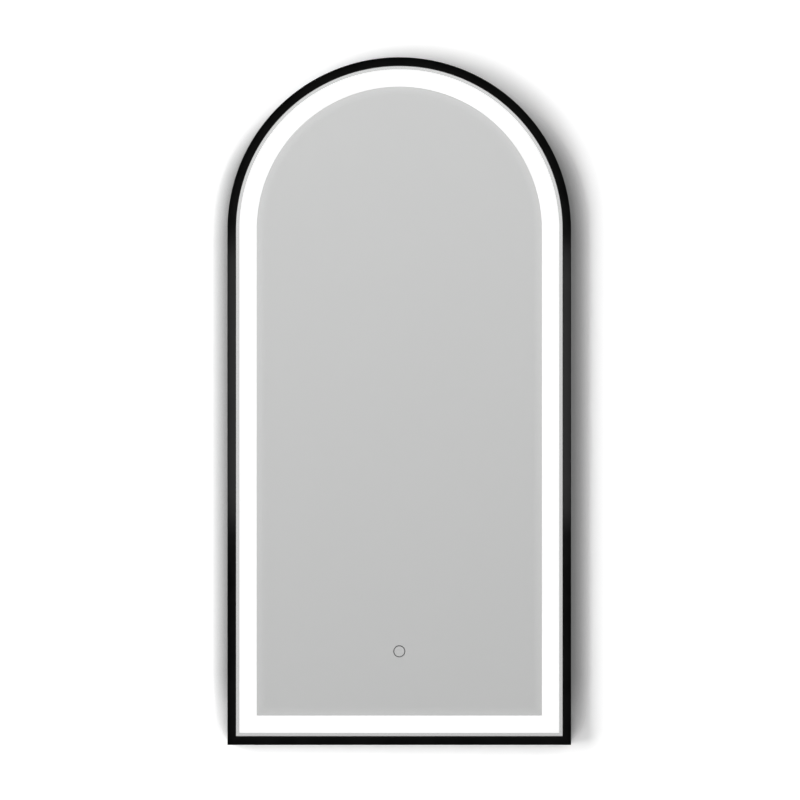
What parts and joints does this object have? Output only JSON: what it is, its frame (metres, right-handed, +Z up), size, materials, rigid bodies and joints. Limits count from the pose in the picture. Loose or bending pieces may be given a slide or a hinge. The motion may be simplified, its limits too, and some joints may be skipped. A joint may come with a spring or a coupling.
{
  "type": "lighted bathroom mirror",
  "caption": "Arched wall mirror with a slim black frame, a lit frosted band behind the glass, a touch ring, and a wall rail that it hooks onto.",
  "frame": {"origin": "midway between the two wall screws, on the wall plane; it is also the centre of the frame's arch", "axes": "+Z up along the mirror's height, +X to the right as one faces the mirror, -Y out of the wall towards the viewer"},
  "size_m": [0.5, 0.04, 0.9999],
  "materials": {
    "black_powder_coat": "satin black powder coat on aluminium",
    "clear_glass": "5 mm float glass, polished edge, band etched behind",
    "silver_layer": "silver with grey backing paint",
    "black_rubber": "soft black rubber",
    "opal_sheet": "opal acrylic, lit from behind",
    "white_foam": "white foam tape",
    "white_steel": "white painted steel sheet",
    "white_strip": "white solder mask",
    "light_chip": "phosphor filled light chip",
    "white_plastic": "moulded white plastic",
    "galvanised_steel": "galvanised steel sheet",
    "zinc_plate": "zinc plated steel",
    "rivet_aluminium": "plain aluminium",
    "key_casting": "die cast",
    "grey_plastic": "moulded grey plastic",
    "black_plastic": "moulded black plastic",
    "green_board": "green solder mask on glass fibre",
    "ferrite": "yellow tape over a ferrite core",
    "can_sleeve": "shrink sleeve over an aluminium can",
    "brass": "plain brass",
    "grey_film": "dark grey conductive film",
    "demister_film": "amber heating film",
    "tinned": "tinned copper",
    "grey_lead": "grey flexible sheath",
    "white_lead": "white flexible sheath",
    "earth_sheath": "green and yellow sheath"
  },
  "bodies": {
    "rail": {"wall_rail": "galvanised_steel"},
    "mirror": {"frame_arch": "black_powder_coat", "frame_bottom_rail": "black_powder_coat", "corner_key_left": "key_casting", "corner_key_right": "key_casting", "corner_key_screws": "zinc_plate", "mirror_glass": "clear_glass", "mirror_silvering": "silver_layer", "front_gasket": "black_rubber", "setting_blocks": "black_rubber", "light_channel": "white_steel", "channel_rivets": "rivet_aluminium", "light_diffuser": "opal_sheet", "diffuser_tape": "white_foam", "led_strip": "white_strip", "led_chips": "light_chip", "strip_connector": "white_plastic", "channel_eyelet": "black_rubber", "back_panel": "galvanised_steel", "back_panel_screws": "zinc_plate", "hanger_left": "galvanised_steel", "hanger_right": "galvanised_steel", "hanger_rivets": "rivet_aluminium", "wall_bumpers": "black_rubber", "wiring_box": "grey_plastic", "terminal_block": "white_plastic", "terminal_screws": "brass", "wiring_cover": "galvanised_steel", "wiring_cover_screws": "zinc_plate", "cable_grommet": "black_rubber", "driver_case": "white_plastic", "driver_lid": "white_plastic", "driver_lid_screws": "zinc_plate", "driver_screws": "zinc_plate", "driver_board": "green_board", "driver_transformer": "ferrite", "driver_capacitors": "can_sleeve", "touch_housing": "black_plastic", "touch_board": "green_board", "touch_electrode": "grey_film", "touch_adhesive": "white_foam", "demister_pad": "demister_film", "demister_connector": "black_plastic", "earth_stud": "brass", "earth_lug": "tinned", "earth_nut": "brass", "mains_lead": "grey_lead", "sensor_lead": "white_lead", "light_lead": "white_lead", "demister_lead": "grey_lead", "earth_lead": "earth_sheath", "cable_clips": "white_plastic"}
  },
  "joints": [
    {"name": "lift_off", "type": "slide", "parent": "rail", "child": "mirror", "axis": [0, 0, 1], "range_m": [0, 0.012]}
  ]
}
